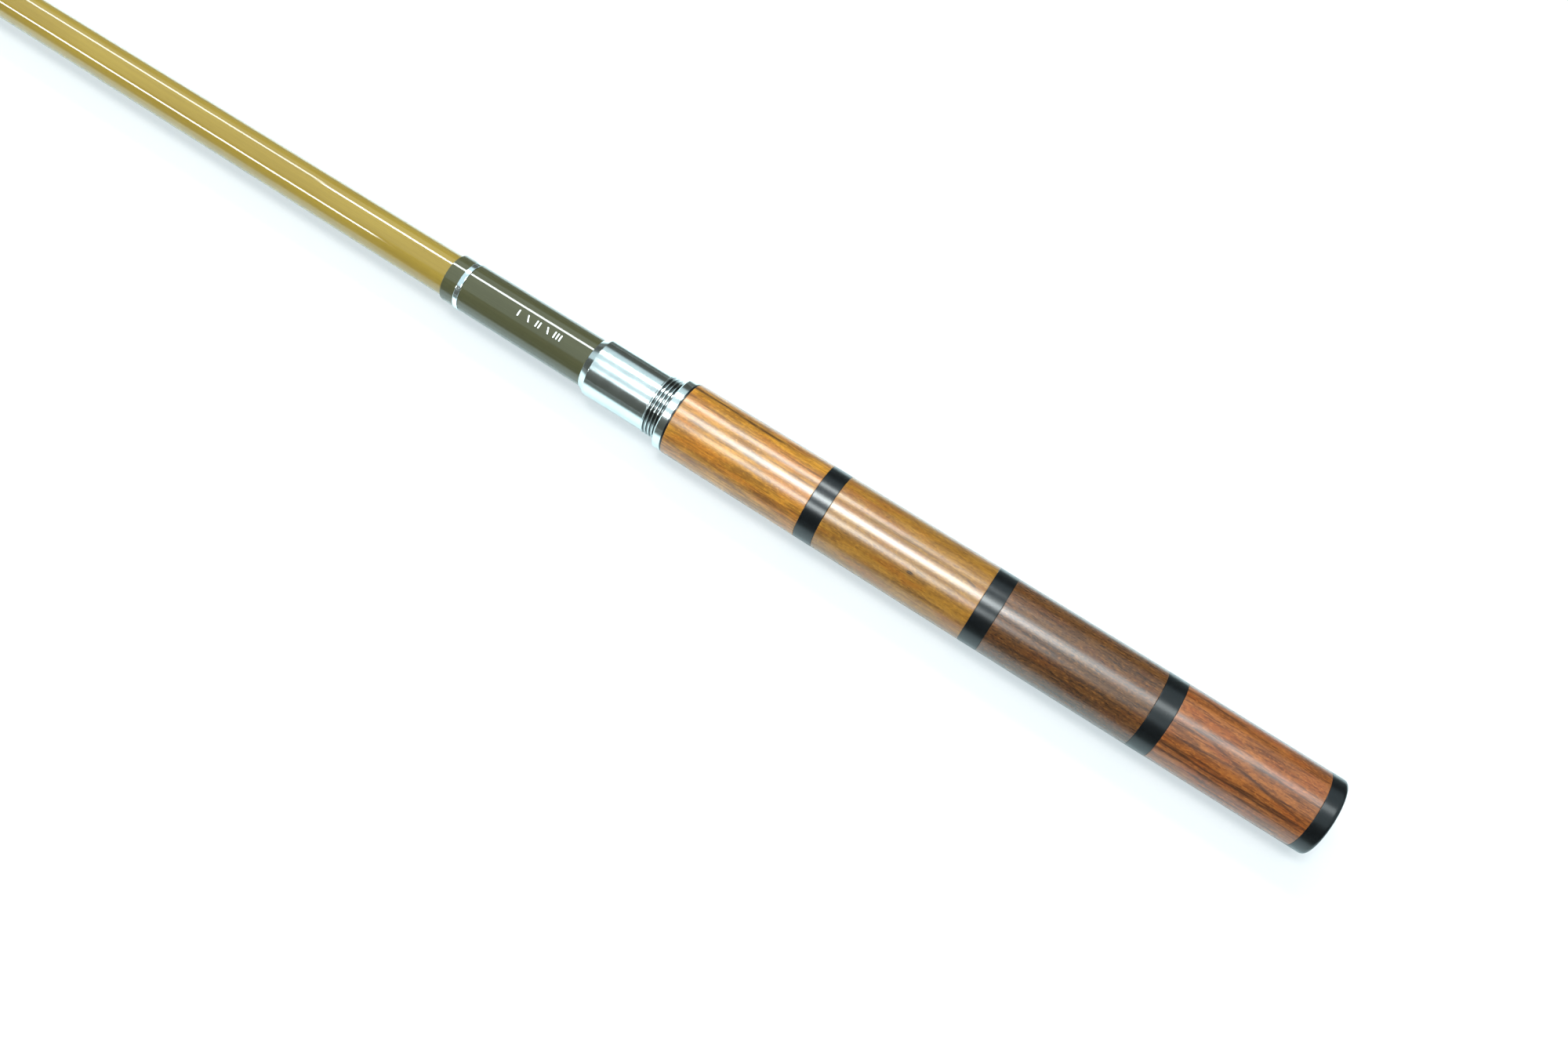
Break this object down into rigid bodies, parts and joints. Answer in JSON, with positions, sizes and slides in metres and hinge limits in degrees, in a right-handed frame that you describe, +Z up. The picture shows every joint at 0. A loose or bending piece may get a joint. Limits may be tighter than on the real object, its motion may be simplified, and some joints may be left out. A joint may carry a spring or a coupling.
{
  "type": "telescopic fishing rod",
  "caption": "Telescopic pole rod with an inlaid wooden grip, a turned metal ferrule and nested tapered sections that slide out to several lengths.",
  "frame": {"origin": "centre of the butt end's flat face", "axes": "+X along the rod from the butt to the tip, +Z up, +Y completes the right-handed frame; the rod is round about X"},
  "size_m": [0.624, 0.0284, 0.0284],
  "materials": {
    "amber_wood": "satin",
    "golden_wood": "satin",
    "walnut_wood": "satin",
    "red_wood": "satin",
    "black_ring": "satin",
    "polished_metal": "polished",
    "silver_metal": "polished",
    "dark_lacquer": "gloss",
    "olive_lacquer": "gloss",
    "dark_anodised": "satin",
    "seal_rubber": "matte",
    "pad_foam": "matte"
  },
  "bodies": {
    "handle": {"handle_tube": "dark_lacquer", "butt_ring": "black_ring", "grip_block_rear": "red_wood", "spacer_ring_rear": "black_ring", "grip_block_mid_rear": "walnut_wood", "spacer_ring_middle": "black_ring", "grip_block_mid_front": "golden_wood", "spacer_ring_front": "black_ring", "grip_block_front": "amber_wood", "front_shim": "black_ring", "ferrule": "polished_metal", "mouth_ring": "silver_metal", "mouth_band": "dark_lacquer", "butt_socket": "dark_anodised"},
    "plug_seal": {"plug_o_ring": "seal_rubber"},
    "plug": {"butt_plug": "dark_anodised", "plug_pad": "pad_foam"},
    "section_2": {"section_2": "olive_lacquer", "mouth_winding_2": "dark_lacquer"},
    "section_3": {"section_3": "olive_lacquer", "mouth_winding_3": "dark_lacquer"},
    "section_4": {"section_4": "olive_lacquer", "mouth_winding_4": "dark_lacquer"},
    "section_5": {"section_5": "olive_lacquer", "mouth_winding_5": "dark_lacquer"},
    "section_6": {"section_6": "olive_lacquer", "mouth_winding_6": "dark_lacquer"},
    "section_7": {"section_7": "olive_lacquer", "mouth_winding_7": "dark_lacquer"},
    "section_8": {"section_8": "olive_lacquer", "mouth_winding_8": "dark_lacquer"},
    "section_9": {"section_9": "olive_lacquer", "tip_sleeve": "polished_metal"}
  },
  "joints": [
    {"name": "plug_travel", "type": "slide", "parent": "handle", "child": "plug_seal", "axis": [-1, 0, 0], "range_m": [0, 0.006]},
    {"name": "plug_turn", "type": "hinge", "parent": "plug_seal", "child": "plug", "pos_m": [0, 0, 0], "axis": [-1, 0, 0], "range_deg": [0, 1440]},
    {"name": "section_2_slide", "type": "slide", "parent": "handle", "child": "section_2", "axis": [1, 0, 0], "range_m": [-0.2865, 0]},
    {"name": "section_3_slide", "type": "slide", "parent": "section_2", "child": "section_3", "axis": [1, 0, 0], "range_m": [0, 0.2833]},
    {"name": "section_4_slide", "type": "slide", "parent": "section_3", "child": "section_4", "axis": [1, 0, 0], "range_m": [0, 0.2833]},
    {"name": "section_5_slide", "type": "slide", "parent": "section_4", "child": "section_5", "axis": [1, 0, 0], "range_m": [0, 0.2833]},
    {"name": "section_6_slide", "type": "slide", "parent": "section_5", "child": "section_6", "axis": [1, 0, 0], "range_m": [0, 0.2833]},
    {"name": "section_7_slide", "type": "slide", "parent": "section_6", "child": "section_7", "axis": [1, 0, 0], "range_m": [0, 0.2833]},
    {"name": "section_8_slide", "type": "slide", "parent": "section_7", "child": "section_8", "axis": [1, 0, 0], "range_m": [0, 0.2833]},
    {"name": "section_9_slide", "type": "slide", "parent": "section_8", "child": "section_9", "axis": [1, 0, 0], "range_m": [0, 0.2833]}
  ],
  "couplings": [
    {"joint": "plug_travel", "follows": "plug_turn", "m_per_rad": 0.0002387}
  ]
}
